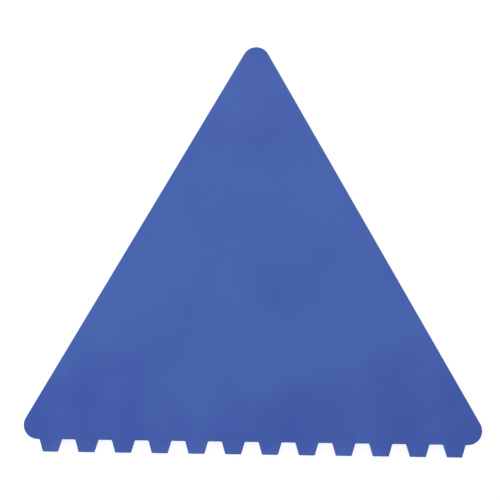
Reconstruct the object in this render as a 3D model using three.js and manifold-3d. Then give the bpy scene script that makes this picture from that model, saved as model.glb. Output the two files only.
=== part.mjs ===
// A pocket ice scraper for car windows: one moulded triangular plate with rounded corners.
// Two of its sides are plain scraping edges, and the third carries a row of teeth for thick ice.
// Millimetres. The plate lies on its back: +Z comes out of the flat front face, +Y runs from
// the teeth to the opposite corner, and the origin is under the middle of the plate's box.
import * as THREE from "three";
import { mergeVertices, toCreasedNormals } from "three/addons/utils/BufferGeometryUtils.js";
import Module from "manifold-3d";

// Driving dimensions
const WIDTH = 120; // over the two rounded corners beside the teeth
const THICKNESS = 3;
const CORNER_RADIUS = 3.75;
const CORNER_STEPS = 16; // facets round it, a multiple of 4 so that one ends at the widest point
const CORNER_ANGLE = Math.PI / 3; // an equilateral triangle

const TOOTH_COUNT = 12;
const TOOTH_PITCH = 9.62;
const TOOTH_HEIGHT = 3.25;
const TOOTH_ROOT_WIDTH = 6.05; // before the fillets
const TOOTH_TIP_WIDTH = 4.2; // before the fillets
const END_TRIM = 0.23; // that the first and the last tooth lack, on the side of the corner
const FILLET_RADIUS = 0.3; // at the tips and at the roots
const FILLET_STEPS = 6;

const BEVEL_WIDTH = 6; // of the slope on the back, measured square to its edge
const EDGE_THICKNESS = 1.2; // what the slope leaves of the plate at its edge

const BLUE = 0x3b5aab;
const CREASE = Math.PI / 12; // facets that meet at less than this are shaded as one curve

// Worked out from them
const CORNER_REACH = CORNER_RADIUS / Math.tan(CORNER_ANGLE / 2); // sharp corner to start of arc
const SIDE = WIDTH + 2 * (CORNER_REACH - CORNER_RADIUS); // between the sharp corners
const ALTITUDE = SIDE * Math.sin(CORNER_ANGLE);
const INRADIUS = ALTITUDE / 3;
const TOP = ALTITUDE - CORNER_RADIUS; // of the rounded corner, above the roots of the teeth
const ROOT_LINE_Y = (TOOTH_HEIGHT - TOP) / 2; // puts the middle of the plate's box at y = 0
const CENTRE = new THREE.Vector2(0, ROOT_LINE_Y + INRADIUS); // of the triangle

// Which way each side faces, as an angle from +X
const RIGHT_SIDE = Math.PI / 6;
const LEFT_SIDE = Math.PI - Math.PI / 6;
const TOOTHED_SIDE = -Math.PI / 2;

// The outline's sharp corners, anticlockwise from the left of the teeth, and how each is rounded.
function outlineCorners() {
  const tipY = ROOT_LINE_Y - TOOTH_HEIGHT;
  const corners = [];
  const add = (x, y, radius, steps) => corners.push({ at: new THREE.Vector2(x, y), radius, steps });
  const addCorner = (x, y) => add(x, y, CORNER_RADIUS, CORNER_STEPS);
  const addFillet = (x, y) => add(x, y, FILLET_RADIUS, FILLET_STEPS);
  addCorner(-SIDE / 2, ROOT_LINE_Y);
  for (let i = 0; i < TOOTH_COUNT; i++) {
    const x = (i - (TOOTH_COUNT - 1) / 2) * TOOTH_PITCH;
    const left = i === 0 ? x + END_TRIM : x;
    const right = i === TOOTH_COUNT - 1 ? x - END_TRIM : x;
    addFillet(left - TOOTH_ROOT_WIDTH / 2, ROOT_LINE_Y);
    addFillet(left - TOOTH_TIP_WIDTH / 2, tipY);
    addFillet(right + TOOTH_TIP_WIDTH / 2, tipY);
    addFillet(right + TOOTH_ROOT_WIDTH / 2, ROOT_LINE_Y);
  }
  addCorner(SIDE / 2, ROOT_LINE_Y);
  addCorner(0, ROOT_LINE_Y + ALTITUDE);
  return corners;
}

// The points of one rounded corner, which may turn either way.
function roundedCorner(before, corner, after, radius, steps) {
  const alongIn = corner.clone().sub(before).normalize();
  const alongOut = after.clone().sub(corner).normalize();
  const turn = Math.atan2(alongIn.cross(alongOut), alongIn.dot(alongOut));
  const reach = radius * Math.tan(Math.abs(turn) / 2);
  const start = corner.clone().addScaledVector(alongIn, -reach);
  const toMiddle = new THREE.Vector2(-alongIn.y, alongIn.x).multiplyScalar(Math.sign(turn) * radius);
  const middle = start.clone().add(toMiddle);
  const points = [];
  for (let i = 0; i <= steps; i++) {
    points.push(start.clone().rotateAround(middle, (turn * i) / steps));
  }
  return points;
}

// The plate as seen from the front.
function plateOutline() {
  const corners = outlineCorners();
  const count = corners.length;
  const points = corners.flatMap(({ at, radius, steps }, i) => {
    const before = corners[(i + count - 1) % count].at;
    const after = corners[(i + 1) % count].at;
    return roundedCorner(before, at, after, radius, steps);
  });
  return new THREE.Shape(points);
}

// The whole thickness of the plate, before its back is bevelled.
function plateBlank() {
  return new THREE.ExtrudeGeometry(plateOutline(), { depth: THICKNESS, bevelEnabled: false });
}

// What a bevel takes off the back, along the straight edge that lies `reach` away from the
// triangle's centre and faces `facing`.
function bevelWedge(reach, facing) {
  const slope = (THICKNESS - EDGE_THICKNESS) / BEVEL_WIDTH;
  const spare = 2; // past the edge and below the back, so that the cut comes out clean
  const start = reach - BEVEL_WIDTH;
  const end = reach + spare;
  const profile = new THREE.Shape();
  profile.moveTo(start, -spare);
  profile.lineTo(end, -spare);
  profile.lineTo(end, slope * (end - start));
  profile.lineTo(start, 0);
  profile.closePath();
  const wedge = new THREE.ExtrudeGeometry(profile, { depth: 2 * SIDE, bevelEnabled: false });
  wedge.translate(0, 0, -SIDE);
  wedge.rotateX(Math.PI / 2); // the profile now stands up, with its x pointing outwards
  wedge.rotateZ(facing);
  wedge.translate(CENTRE.x, CENTRE.y, 0);
  return wedge;
}

const wasm = await Module();
wasm.setup();

function toSolid(geometry) {
  const bare = geometry.clone();
  bare.deleteAttribute("normal");
  bare.deleteAttribute("uv");
  const merged = mergeVertices(bare);
  const vertProperties = merged.attributes.position.array;
  const triVerts = new Uint32Array(merged.index.array);
  return new wasm.Manifold(new wasm.Mesh({ numProp: 3, vertProperties, triVerts }));
}

function toGeometry(solid) {
  const mesh = solid.getMesh();
  const geometry = new THREE.BufferGeometry();
  geometry.setAttribute("position", new THREE.BufferAttribute(mesh.vertProperties, 3));
  geometry.setIndex(new THREE.BufferAttribute(mesh.triVerts, 1));
  return toCreasedNormals(geometry, CREASE);
}

// The one moulding: the blank with its back bevelled along the two plain edges and the teeth.
function scraperPlate() {
  const solid = toSolid(plateBlank())
    .subtract(toSolid(bevelWedge(INRADIUS, RIGHT_SIDE)))
    .subtract(toSolid(bevelWedge(INRADIUS, LEFT_SIDE)))
    .subtract(toSolid(bevelWedge(INRADIUS + TOOTH_HEIGHT, TOOTHED_SIDE)));
  const plastic = new THREE.MeshStandardMaterial({ color: BLUE, roughness: 0.4, metalness: 0 });
  const plate = new THREE.Mesh(toGeometry(solid), plastic);
  plate.name = "scraper_plate";
  return plate;
}

const iceScraper = new THREE.Group();
iceScraper.add(scraperPlate());

export default iceScraper;
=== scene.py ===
"""A triangular ice scraper, lying on its back on a pale floor and seen from above.

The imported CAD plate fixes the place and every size. Here it gets its fine surface: rounded
edges, filleted teeth, a parting line round the wall, the marks that moulding leaves on the
back, and a satin blue plastic. Metres, in the frame of the CAD model.
"""
import math

import bpy
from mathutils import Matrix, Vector, noise
from mathutils.geometry import delaunay_2d_cdt
from mathutils.kdtree import KDTree


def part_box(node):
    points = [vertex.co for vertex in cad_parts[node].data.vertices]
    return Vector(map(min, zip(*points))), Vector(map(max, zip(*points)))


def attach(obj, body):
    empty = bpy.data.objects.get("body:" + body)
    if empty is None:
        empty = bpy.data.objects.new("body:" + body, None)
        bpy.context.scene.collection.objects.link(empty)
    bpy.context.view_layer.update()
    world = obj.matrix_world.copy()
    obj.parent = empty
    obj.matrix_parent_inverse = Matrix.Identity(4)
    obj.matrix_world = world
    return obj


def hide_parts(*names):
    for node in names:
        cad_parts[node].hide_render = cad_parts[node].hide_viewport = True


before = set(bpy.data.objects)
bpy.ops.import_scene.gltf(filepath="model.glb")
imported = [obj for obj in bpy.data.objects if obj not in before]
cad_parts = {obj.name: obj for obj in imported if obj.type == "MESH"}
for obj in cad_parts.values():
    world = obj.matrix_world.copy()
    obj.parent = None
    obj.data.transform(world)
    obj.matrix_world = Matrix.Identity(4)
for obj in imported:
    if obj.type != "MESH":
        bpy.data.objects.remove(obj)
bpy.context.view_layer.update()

MM = 0.001
UP = Vector((0, 0, 1))
CAD_NODE = "scraper_plate"
EDGE_ATTRIBUTE = "edge"  # on each point of the mesh: 1 on the crown of a rounded edge, 0 on a flat

# The plate's sizes: its box comes from the CAD model, and the rest repeats that model's dimensions.
LOW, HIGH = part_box(CAD_NODE)
WIDTH = HIGH.x - LOW.x
THICKNESS = HIGH.z - LOW.z
CORNER_RADIUS = 3.75 * MM
CORNER_ANGLE = math.radians(60)
TOOTH_COUNT = 12
TOOTH_PITCH = 9.62 * MM
TOOTH_HEIGHT = 3.25 * MM
TOOTH_ROOT_WIDTH = 6.05 * MM  # before the fillets
TOOTH_TIP_WIDTH = 4.2 * MM  # before the fillets
END_TRIM = 0.23 * MM  # that the first and the last tooth lack, on the side of the corner
FILLET_RADIUS = 0.3 * MM  # at the tips and at the roots; more than any edge's radius plus the rise
BEVEL_WIDTH = 6 * MM
EDGE_THICKNESS = 1.2 * MM

# Fine detail of the moulding
FRONT_ROUND = 0.15 * MM  # radius of the edge between the front face and the wall
BACK_ROUND = 0.2 * MM
CREASE_BLEND = 0.4 * MM  # half the width over which the back turns into a bevel
PARTING_RISE = 0.05 * MM  # of the line where the mould's halves met, out of the wall
PARTING_HALF_WIDTH = 0.1 * MM
PARTING_DEPTH = 0.6 * MM  # below the front face
WAVE_HEIGHT = 0.008 * MM  # how far the front face is from truly flat
WAVE_LENGTH = 22 * MM
EJECTOR_RADIUS = 2.5 * MM
EJECTOR_DEPTH = 0.08 * MM
GATE_RADIUS = 2 * MM
GATE_DEPTH = 0.3 * MM
NUB_RADIUS = 0.6 * MM
NUB_HEIGHT = 0.2 * MM
MARK_WALL = 0.24 * MM  # over which a mark's wall falls

# The blue plastic: where it changes and where light and shade are painted on it, the sizes of its spots,
# and its colours from dark to worn
STREAK_AND_SHADE_LENGTH = 24 * MM  # how far up from the middle of the teeth the streaks of the melt and the painted shade reach
STREAK_AND_SHADE_RISE = 14.4 * MM  # how much further up the streaks and the painted shade reach at the two ends of the row
TIP_LIGHT_LENGTH = 3.75 * MM  # how far up from their tips the teeth are painted paler, for light that shines through the thin plastic
STREAK_SIZE = (11 * MM, 45 * MM, 11 * MM)
STREAK_SHIFT = 2.6  # of the streaks along x, in widths of a streak
CLOUD_SIZE = 24 * MM
CLOUD_SHIFT = 4.5  # of the clouds of colour along x, in widths of a cloud
GRAIN_SIZE = 0.35 * MM
SATIN_SIZE = 0.12 * MM
CHAFE_SIZE = 1.5 * MM  # of the places where the edges are worn
SCRATCH_SIZE = (0.25 * MM, 14 * MM, 5 * MM)
SCRATCH_PATCH_SIZE = 20 * MM
SCRATCH_TURNS = (0.4, -0.9)  # in radians
BUMP_HEIGHT = 0.02 * MM
DARK_BLUE = (0.0355, 0.083, 0.375)
BLUE = (0.0455, 0.1065, 0.411)
PALE_BLUE = (0.049, 0.115, 0.431)
WORN_BLUE = (0.1, 0.18, 0.49)
BASE_TONE = 0.48  # of the plain plastic, on the scale that runs through those colours from 0 to 1

# How finely the mesh is divided
ARC_STEP = math.radians(7.5)
SMALL_ARC_STEP = math.radians(18)
EDGE_STEPS = 4
STRAIGHT_STEP = 1 * MM
LATTICE_STEP = 2.5 * MM
MARK_STEPS = 4  # down the wall of a mark
CLEARANCE = 0.6 * MM  # of the points inside a face from the points of its rim
RIM_CLEARANCE = 0.7 * CLEARANCE  # of the points inside a face from the rim's line
THINNING = 0.1 * MM  # cell of the grid in which no two points are kept
SAME_PLACE = 1e-7  # points of a face that are nearer to each other than this become one
SLOPE_REACH = 0.02 * MM  # how far to each side of a point its slope is measured
FLOOR_SIDES = 96
SWEEP_STEPS = 24

# The studio: a round floor, flat out to a wall that it sweeps up into, and two soft round lights
FLOOR_GAP = 0.05 * MM  # below the plate, so that the two surfaces don't coincide
FLOOR_RADIUS = 1.6
SWEEP_RADIUS = 0.8
WALL_TOP = 1.2
FLOOR_SPOT_SIZE = 60 * MM
FLOOR_DARK = (0.34, 0.34, 0.34)
FLOOR_PALE = (0.38, 0.38, 0.38)
FLOOR_GLOW = 0.78
LIGHT_SIZE = 0.7
KEY_PLACE = (-0.4, 0.78, 0.72)
KEY_POWER = 5.7
FILL_PLACE = (-0.45, -0.85, 0.5)
FILL_POWER = 2.8
SKY_STRENGTH = 0.51

# The camera, nearly square over the front face but a little on the side of the teeth
CAMERA_LEAN = (math.radians(4.285), math.radians(1.443), math.radians(0.578))
CAMERA_DISTANCE = 2.533 * WIDTH
CAMERA_AIM = Vector((-0.0086 * WIDTH, -0.0042 * WIDTH, HIGH.z))
SENSOR_WIDTH = 36  # in mm, like the lens
LENS = 82.79
NEAREST_SEEN = 0.01

# Worked out from those
HALF_CORNER = CORNER_ANGLE / 2
SIDE = WIDTH + 2 * (CORNER_RADIUS / math.tan(HALF_CORNER) - CORNER_RADIUS)
ALTITUDE = SIDE * math.sin(CORNER_ANGLE)
INRADIUS = ALTITUDE / 3
ROOT_Y = LOW.y + TOOTH_HEIGHT
CENTRE = Vector((0, ROOT_Y + INRADIUS))
# Each side of the triangle, as the way it faces and how far its edge is from the centre
RIGHT_SIDE = (math.radians(30), INRADIUS)
LEFT_SIDE = (math.radians(150), INRADIUS)
TOOTHED_SIDE = (math.radians(-90), INRADIUS + TOOTH_HEIGHT)
SIDES = (RIGHT_SIDE, LEFT_SIDE, TOOTHED_SIDE)
BEVEL_SLOPE = (THICKNESS - EDGE_THICKNESS) / BEVEL_WIDTH


def direction(angle):
    return Vector((math.cos(angle), math.sin(angle)))


# ---------------------------------------------------------------- the outline

def outline_corners():
    """The outline's sharp corners anticlockwise from the left of the teeth, each with its radius."""
    corners = [(Vector((-SIDE / 2, ROOT_Y)), CORNER_RADIUS)]
    tip_y = ROOT_Y - TOOTH_HEIGHT
    for i in range(TOOTH_COUNT):
        x = (i - (TOOTH_COUNT - 1) / 2) * TOOTH_PITCH
        left = x + END_TRIM if i == 0 else x
        right = x - END_TRIM if i == TOOTH_COUNT - 1 else x
        corners.append((Vector((left - TOOTH_ROOT_WIDTH / 2, ROOT_Y)), FILLET_RADIUS))
        corners.append((Vector((left - TOOTH_TIP_WIDTH / 2, tip_y)), FILLET_RADIUS))
        corners.append((Vector((right + TOOTH_TIP_WIDTH / 2, tip_y)), FILLET_RADIUS))
        corners.append((Vector((right + TOOTH_ROOT_WIDTH / 2, ROOT_Y)), FILLET_RADIUS))
    corners.append((Vector((SIDE / 2, ROOT_Y)), CORNER_RADIUS))
    corners.append((Vector((0, ROOT_Y + ALTITUDE)), CORNER_RADIUS))
    return corners


def corner_arc(before, corner, after, radius):
    """The points of one rounded corner, each with its outward normal. It may turn either way."""
    along_in = (corner - before).normalized()
    along_out = (after - corner).normalized()
    turn = -along_in.angle_signed(along_out)  # mathutils counts clockwise turns as positive
    side = math.copysign(1, turn)
    reach = radius * math.tan(abs(turn) / 2)
    outward = Vector((along_in.y, -along_in.x))
    middle = corner - along_in * reach - outward * radius * side
    start = math.atan2(outward.y, outward.x)
    step = ARC_STEP if radius == CORNER_RADIUS else SMALL_ARC_STEP
    steps = math.ceil(abs(turn) / step)
    normals = [direction(start + turn * i / steps) for i in range(steps + 1)]
    return [(middle + normal * radius * side, normal) for normal in normals]


def outline():
    """The plate's outline as points with outward normals, evenly spaced along the straights."""
    corners = outline_corners()
    count = len(corners)
    arcs = []
    for i, (corner, radius) in enumerate(corners):
        before = corners[i - 1][0]
        after = corners[(i + 1) % count][0]
        arcs.append(corner_arc(before, corner, after, radius))
    points = []
    for i, arc in enumerate(arcs):
        points += arc
        start, normal = arc[-1]
        end = arcs[(i + 1) % count][0][0]
        steps = max(1, round((end - start).length / STRAIGHT_STEP))
        points += [(start.lerp(end, j / steps), normal) for j in range(1, steps)]
    return points


# ---------------------------------------------------------------- the two faces

def smooth_step(t):
    t = min(max(t, 0), 1)
    return t * t * (3 - 2 * t)


def soft_max(a, b, blend):
    """The larger of a and b, with a parabola where they are less than blend apart."""
    overlap = max(blend - abs(a - b), 0)
    return max(a, b) + overlap * overlap / (4 * blend)


def bevel_height(at):
    """How far the bevels lift the back off the floor."""
    height = 0
    for facing, reach in SIDES:
        run = (at - CENTRE).dot(direction(facing)) - (reach - BEVEL_WIDTH)
        height = soft_max(height, run * BEVEL_SLOPE, CREASE_BLEND * BEVEL_SLOPE)
    return height


def moulding_marks():
    """The round marks on the back: the middle, radius and depth of each.

    An ejector pin left one towards each corner of the triangle, and the gate left a dimple
    in the middle with a nub in it.
    """
    marks = [(CENTRE, GATE_RADIUS, GATE_DEPTH), (CENTRE, NUB_RADIUS, -NUB_HEIGHT)]
    for i in range(3):
        middle = CENTRE + direction(math.radians(90 + 120 * i)) * INRADIUS
        marks.append((middle, EJECTOR_RADIUS, EJECTOR_DEPTH))
    return marks


MARKS = moulding_marks()


def back_height(at):
    height = bevel_height(at)
    for middle, radius, depth in MARKS:
        height += depth * smooth_step((radius - (at - middle).length) / MARK_WALL)
    return height


def front_height(at):
    """The front face, which moulding leaves a few micrometres from flat."""
    wave = noise.noise(Vector((at.x, at.y, 0)) / WAVE_LENGTH)
    return THICKNESS - WAVE_HEIGHT * (0.5 + 0.5 * wave)


def slope_normal(height, at):
    """The upward normal of a height field."""
    along_x = Vector((SLOPE_REACH, 0))
    along_y = Vector((0, SLOPE_REACH))
    dx = height(at + along_x) - height(at - along_x)
    dy = height(at + along_y) - height(at - along_y)
    return Vector((-dx, -dy, 2 * SLOPE_REACH)).normalized()


# ---------------------------------------------------------------- the mesh

class Surface:
    """Points with their normals and edge values, and the faces between them."""

    def __init__(self):
        self.points = []
        self.normals = []
        self.edge_values = []
        self.faces = []

    def add(self, point, normal, edge_value=0):
        self.points.append(point)
        self.normals.append(normal)
        self.edge_values.append(edge_value)
        return len(self.points) - 1

    def bridge(self, upper, lower):
        """Joins two rings, the upper one nearer the front, with faces that look outwards."""
        for i in range(len(upper)):
            j = (i + 1) % len(upper)
            self.faces.append((upper[i], lower[i], lower[j], upper[j]))


def front_edge_ring(surface, rim, angle):
    """A ring round the front edge: angle 0 is on the front face, a right angle on the wall."""
    inset = PARTING_RISE + FRONT_ROUND * (1 - math.sin(angle))
    drop = FRONT_ROUND * (1 - math.cos(angle))
    ring = []
    for point, outward in rim:
        at = point - outward * inset
        level = front_height(at) - drop
        normal = (outward * math.sin(angle)).to_3d() + UP * math.cos(angle)
        ring.append(surface.add(Vector((at.x, at.y, level)), normal, math.sin(2 * angle)))
    return ring


def wall_ring(surface, rim, depth, inset, tilt=0):
    """A ring round the wall, at a depth below the front face and set in from the outline.

    Its normals point upwards by tilt.
    """
    ring = []
    for point, outward in rim:
        at = point - outward * inset
        normal = outward.to_3d() * math.cos(tilt) + UP * math.sin(tilt)
        ring.append(surface.add(Vector((at.x, at.y, THICKNESS - depth)), normal))
    return ring


def parting_rings(surface, rim):
    """The parting line, a ridge. At its feet the normals are halfway between the wall's and its sides'."""
    tilt = math.atan(PARTING_RISE / PARTING_HALF_WIDTH) / 2
    return [
        wall_ring(surface, rim, PARTING_DEPTH - PARTING_HALF_WIDTH, PARTING_RISE, tilt),
        wall_ring(surface, rim, PARTING_DEPTH, 0),
        wall_ring(surface, rim, PARTING_DEPTH + PARTING_HALF_WIDTH, PARTING_RISE, -tilt),
    ]


def back_edge_ring(surface, rim, angle):
    """A ring round the back edge: a right angle is on the wall, angle 0 on the back."""
    inset = PARTING_RISE + BACK_ROUND * (1 - math.sin(angle))
    lift = BACK_ROUND * (1 - math.cos(angle))
    ring = []
    for point, outward in rim:
        at = point - outward * inset
        level = bevel_height(at) + lift
        down = -slope_normal(bevel_height, at)
        normal = (outward * math.sin(angle)).to_3d() + down * math.cos(angle)
        ring.append(surface.add(Vector((at.x, at.y, level)), normal.normalized(), math.sin(2 * angle)))
    return ring


def circle_points(middle, radius, count):
    return [middle + direction(2 * math.pi * i / count) * radius for i in range(count)]


def lattice_points():
    """A triangular lattice over the plate's box."""
    row_step = LATTICE_STEP * math.sin(CORNER_ANGLE)
    points = []
    for row in range(round((HIGH.y - LOW.y) / row_step)):
        for column in range(round(WIDTH / LATTICE_STEP)):
            x = LOW.x + (column + 0.5 * (row % 2)) * LATTICE_STEP
            points.append(Vector((x, LOW.y + row * row_step)))
    return points


def crease_points():
    """Points along each line where the back turns into a bevel, in five close rows."""
    points = []
    for facing, reach in SIDES:
        outward = direction(facing)
        along = Vector((-outward.y, outward.x))
        for row in range(-2, 3):
            foot = CENTRE + outward * (reach - BEVEL_WIDTH + row * CREASE_BLEND / 2)
            count = round(SIDE / (2 * STRAIGHT_STEP))
            points += [foot + along * i * STRAIGHT_STEP for i in range(-count, count + 1)]
    return points


def mark_points():
    """Rings of points over the wall of each mark, and a wider one round it."""
    points = []
    for middle, radius, _ in MARKS:
        count = round(2 * math.pi * radius / MARK_WALL)
        for i in range(-1, MARK_STEPS + 2):
            ring_radius = radius - MARK_WALL * i / MARK_STEPS
            points += circle_points(middle, ring_radius, count)
    return points


def clear_of_marks(points):
    """The points that aren't on a mark's wall or close beside it."""
    return [
        point for point in points
        if all(abs((point - middle).length - radius) > 2 * MARK_WALL for middle, radius, _ in MARKS)
    ]


def inside(ring, candidates):
    """The candidates inside a ring of (point, outward normal) pairs, and clear of it."""
    tree = KDTree(len(ring))
    for i, (point, _) in enumerate(ring):
        tree.insert(point.to_3d(), i)
    tree.balance()
    kept = []
    for candidate in candidates:
        _, nearest, distance = tree.find(candidate.to_3d())
        point, outward = ring[nearest]
        depth = (point - candidate).dot(outward)
        if distance > CLEARANCE and depth > RIM_CLEARANCE:
            kept.append(candidate)
    return kept


def thin_out(points):
    """The first of the points in each cell of a fine grid."""
    kept = {}
    for point in points:
        kept.setdefault((round(point.x / THINNING), round(point.y / THINNING)), point)
    return list(kept.values())


def fill(surface, ring, candidates, height, facing_up):
    """Closes a ring of vertices with triangles over a height field."""
    rim = [surface.points[i].to_2d() for i in ring]
    count = len(rim)
    fence = []
    for i, point in enumerate(rim):
        along = (rim[(i + 1) % count] - rim[i - 1]).normalized()
        fence.append((point, Vector((along.y, -along.x))))
    inner = inside(fence, candidates)
    loop = [list(range(count))]
    coords, _, triangles, sources, _, owners = delaunay_2d_cdt(rim + inner, [], loop, 0, SAME_PLACE)
    places = []
    for coord, source in zip(coords, sources):
        on_ring = [s for s in source if s < count]
        if on_ring:
            places.append(ring[on_ring[0]])
            continue
        normal = slope_normal(height, coord)
        point = Vector((coord.x, coord.y, height(coord)))
        places.append(surface.add(point, normal if facing_up else -normal))
    for triangle, owner in zip(triangles, owners):
        if owner:  # the others lie outside the ring, in the gaps between the teeth
            corners = [places[i] for i in triangle]
            surface.faces.append(tuple(corners if facing_up else reversed(corners)))


def plate_mesh():
    rim = outline()
    surface = Surface()
    quarter = [math.pi / 2 * i / EDGE_STEPS for i in range(EDGE_STEPS + 1)]
    rings = [front_edge_ring(surface, rim, angle) for angle in quarter]
    rings += parting_rings(surface, rim)
    rings += [back_edge_ring(surface, rim, angle) for angle in reversed(quarter)]
    for upper, lower in zip(rings, rings[1:]):
        surface.bridge(upper, lower)
    fill(surface, rings[0], lattice_points(), front_height, True)
    around = clear_of_marks(thin_out(crease_points() + lattice_points()))
    fill(surface, rings[-1], mark_points() + around, back_height, False)
    mesh = bpy.data.meshes.new("scraper_plate_moulding")
    mesh.from_pydata(surface.points, [], surface.faces)
    mesh.validate()
    mesh.shade_smooth()
    mesh.normals_split_custom_set_from_vertices(surface.normals)
    edge = mesh.attributes.new(EDGE_ATTRIBUTE, "FLOAT", "POINT")
    edge.data.foreach_set("value", surface.edge_values)
    return mesh


# ---------------------------------------------------------------- the materials

class Nodes:
    """A material's nodes as they are put together. Most methods add some and give their output."""

    def __init__(self, name):
        self.material = bpy.data.materials.new(name)
        self.material.use_nodes = True
        self.tree = self.material.node_tree
        self.shader = self.tree.nodes["Principled BSDF"]

    def add(self, kind, output=0, settings=None, **inputs):
        node = self.tree.nodes.new("ShaderNode" + kind)
        for name, value in (settings or {}).items():
            setattr(node, name, value)
        for name, value in inputs.items():
            self.feed(node.inputs[name.replace("_", " ")], value)
        return node.outputs[output]

    def feed(self, socket, value):
        if isinstance(value, bpy.types.NodeSocket):
            self.tree.links.new(value, socket)
        else:
            socket.default_value = value

    def maths(self, operation, *values):
        node = self.tree.nodes.new("ShaderNodeMath")
        node.operation = operation
        for socket, value in zip(node.inputs, values):
            self.feed(socket, value)
        return node.outputs[0]

    def total(self, *terms):
        """The sum of (value, weight) pairs."""
        result = 0.0
        for value, weight in terms:
            result = self.maths("MULTIPLY_ADD", value, weight, result)
        return result

    def place(self):
        """Where a point is on the object, in metres."""
        return self.add("TexCoord", output="Object")

    def along(self, axis):
        """How far a point is along an axis of the object, in metres."""
        return self.add("SeparateXYZ", output=axis, Vector=self.place())

    def noise(self, grain, detail=2.0, turn=0.0, shift=0.0):
        """Noise about 0, its spots as large as grain in x, y and z, and moved shift spots along x."""
        scaled = self.add(
            "Mapping",
            Vector=self.place(),
            Location=(shift, 0, 0),
            Rotation=(0, 0, turn),
            Scale=tuple(1 / size for size in grain),
        )
        value = self.add("TexNoise", Vector=scaled, Scale=1.0, Detail=detail)
        return self.maths("SUBTRACT", value, 0.5)

    def ramp(self, value, *stops):
        """The colours of (position, colour) stops, blended along a value."""
        node = self.tree.nodes.new("ShaderNodeValToRGB")
        self.feed(node.inputs[0], value)
        elements = node.color_ramp.elements
        elements.remove(elements[1])
        elements[0].position = stops[0][0]
        for position, _ in stops[1:]:
            elements.new(position)
        for element, (_, colour) in zip(elements, stops):
            element.color = (*colour, 1)
        return node.outputs[0]


def spots(size):
    """A grain that is the same in x, y and z."""
    return (size, size, size)


def streak_and_shade_band(nodes):
    """From 0 in the upper part of the plate to 1 at the teeth, and further up at both ends of them: where
    the melt's streaks show and where shade is painted in.
    """
    across = nodes.maths("DIVIDE", nodes.along("X"), WIDTH / 2)
    bow = nodes.maths("MULTIPLY", across, across)
    level = nodes.total((nodes.along("Y"), 1.0), (bow, -STREAK_AND_SHADE_RISE))
    return nodes.add(
        "MapRange",
        settings={"interpolation_type": "SMOOTHSTEP"},
        Value=level,
        From_Min=ROOT_Y + STREAK_AND_SHADE_LENGTH,
        From_Max=ROOT_Y,
    )


def painted_tip_light(nodes):
    """From 0 just above the roots of the teeth to 1 at their tips, where the teeth are painted paler for
    light through the thin plastic.
    """
    return nodes.add("MapRange", Value=nodes.along("Y"), From_Min=LOW.y + TIP_LIGHT_LENGTH, From_Max=LOW.y)


def scratches(nodes, turn):
    """Hairline scratches in one direction, 1 in a scratch and 0 beside it, in patches."""
    lines = nodes.noise(SCRATCH_SIZE, detail=1.0, turn=turn)
    hairs = nodes.add("MapRange", Value=lines, From_Min=0.2, From_Max=0.26)
    patches = nodes.noise(spots(SCRATCH_PATCH_SIZE), detail=1.0)
    mask = nodes.add("MapRange", Value=patches, From_Min=0.0, From_Max=0.12)
    return nodes.maths("MULTIPLY", hairs, mask)


def blue_plastic():
    """Satin polypropylene, mass-coloured blue and nearly new, with shade painted in towards the teeth and
    light painted in at the tooth tips.
    """
    nodes = Nodes("satin_blue_plastic")
    cloud = nodes.noise(spots(CLOUD_SIZE), shift=CLOUD_SHIFT)
    streaks = nodes.noise(STREAK_SIZE, shift=STREAK_SHIFT)
    grain = nodes.noise(spots(GRAIN_SIZE), detail=1.0)
    streaks_and_shade = streak_and_shade_band(nodes)
    edge = nodes.add("Attribute", output="Fac", settings={"attribute_name": EDGE_ATTRIBUTE})
    chafed = nodes.add("MapRange", Value=nodes.noise(spots(CHAFE_SIZE)), From_Min=-0.15, From_Max=0.25)
    wear = nodes.maths("MULTIPLY", edge, chafed)
    hairs = nodes.maths("MAXIMUM", *(scratches(nodes, turn) for turn in SCRATCH_TURNS))

    tone = nodes.total(
        (cloud, 0.9),
        (nodes.maths("MULTIPLY", streaks, streaks_and_shade), 1.2),
        (grain, 0.5),
        # painted shade: the plastic darker towards the teeth and the two bottom corners, where the light
        # falls off
        (streaks_and_shade, -0.41),
        # painted light: the teeth paler towards their tips, as if lit through the thin plastic
        (painted_tip_light(nodes), 0.34),
        (wear, 0.35),
        (hairs, 0.06),
        (BASE_TONE, 1.0),
    )
    colour = nodes.ramp(tone, (0.0, DARK_BLUE), (0.45, BLUE), (0.75, PALE_BLUE), (1.0, WORN_BLUE))
    roughness = nodes.total((cloud, 0.12), (grain, 0.15), (wear, 0.12), (hairs, 0.1), (0.38, 1.0))
    satin = nodes.noise(spots(SATIN_SIZE))
    height = nodes.total((satin, 1.0), (hairs, -0.6), (grain, 1.0))
    normal = nodes.add("Bump", Height=height, Strength=0.25, Distance=BUMP_HEIGHT)
    nodes.feed(nodes.shader.inputs["Base Color"], colour)
    nodes.feed(nodes.shader.inputs["Roughness"], roughness)
    nodes.feed(nodes.shader.inputs["Normal"], normal)
    nodes.shader.inputs["IOR"].default_value = 1.49
    return nodes.material


def pale_floor():
    """A matt white table that glows a little, so that shadows on it stay faint."""
    nodes = Nodes("pale_floor")
    mottle = nodes.noise(spots(FLOOR_SPOT_SIZE))
    shade = nodes.total((mottle, 0.1), (0.5, 1.0))
    nodes.feed(nodes.shader.inputs["Base Color"], nodes.ramp(shade, (0, FLOOR_DARK), (1, FLOOR_PALE)))
    nodes.shader.inputs["Roughness"].default_value = 0.9
    nodes.shader.inputs["Emission Color"].default_value = (1, 1, 1, 1)
    nodes.shader.inputs["Emission Strength"].default_value = FLOOR_GLOW
    return nodes.material


# ---------------------------------------------------------------- the scene

def add_plate():
    plate = bpy.data.objects.new("scraper_plate_moulding", plate_mesh())
    bpy.context.scene.collection.objects.link(plate)
    plate.data.materials.append(blue_plastic())
    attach(plate, "root")
    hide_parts(CAD_NODE)


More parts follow.
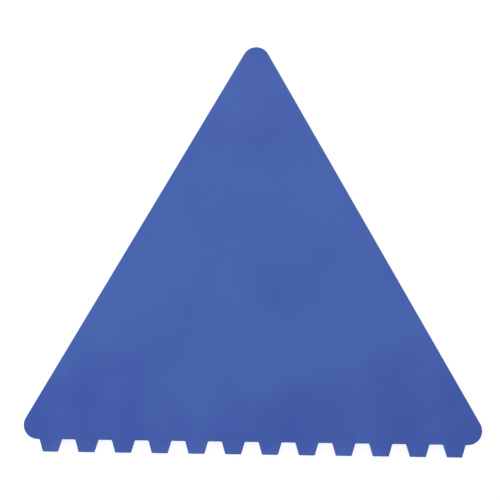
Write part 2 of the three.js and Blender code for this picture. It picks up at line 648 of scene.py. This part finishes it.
def floor_mesh():
    """A flat disc whose rim sweeps up into a round wall, so that no horizon shows."""
    profile = []
    for i in range(SWEEP_STEPS + 1):
        angle = math.pi / 2 * i / SWEEP_STEPS
        run = FLOOR_RADIUS + SWEEP_RADIUS * math.sin(angle)
        profile.append((run, SWEEP_RADIUS * (1 - math.cos(angle))))
    profile.append((FLOOR_RADIUS + SWEEP_RADIUS, WALL_TOP))
    floor = Surface()
    rings = []
    for radius, height in profile:
        circle = circle_points(Vector((0, 0)), radius, FLOOR_SIDES)
        rings.append([floor.add(Vector((*point, height)), UP) for point in circle])
    for lower, upper in zip(rings, rings[1:]):
        floor.bridge(lower, upper)
    floor.faces.append(tuple(rings[0]))
    mesh = bpy.data.meshes.new("floor")
    mesh.from_pydata(floor.points, [], floor.faces)
    mesh.shade_smooth()
    return mesh


def add_floor():
    floor = bpy.data.objects.new("floor", floor_mesh())
    floor.location.z = LOW.z - FLOOR_GAP
    bpy.context.scene.collection.objects.link(floor)
    floor.data.materials.append(pale_floor())


def add_light(name, place, power):
    """A soft round light that is aimed at the middle of the plate."""
    light = bpy.data.lights.new(name, "AREA")
    light.shape = "DISK"
    light.size = LIGHT_SIZE
    light.energy = power
    lamp = bpy.data.objects.new(name, light)
    lamp.location = place
    lamp.rotation_euler = Vector(place).to_track_quat("Z", "Y").to_euler()
    bpy.context.scene.collection.objects.link(lamp)


def add_world():
    world = bpy.data.worlds.new("studio")
    world.use_nodes = True
    background = world.node_tree.nodes["Background"]
    background.inputs["Color"].default_value = (1, 1, 1, 1)
    background.inputs["Strength"].default_value = SKY_STRENGTH
    bpy.context.scene.world = world


def add_camera():
    data = bpy.data.cameras.new("camera")
    data.sensor_width = SENSOR_WIDTH
    data.lens = LENS
    data.clip_start = NEAREST_SEEN
    camera = bpy.data.objects.new("camera", data)
    camera.rotation_mode = "ZYX"
    camera.rotation_euler = CAMERA_LEAN
    back = camera.rotation_euler.to_matrix() @ UP
    camera.location = CAMERA_AIM + back * CAMERA_DISTANCE
    bpy.context.scene.collection.objects.link(camera)
    bpy.context.scene.camera = camera


add_camera()
add_plate()
add_floor()
add_world()
add_light("key", KEY_PLACE, KEY_POWER)
add_light("fill", FILL_PLACE, FILL_POWER)
bpy.context.scene.view_settings.view_transform = "Standard"
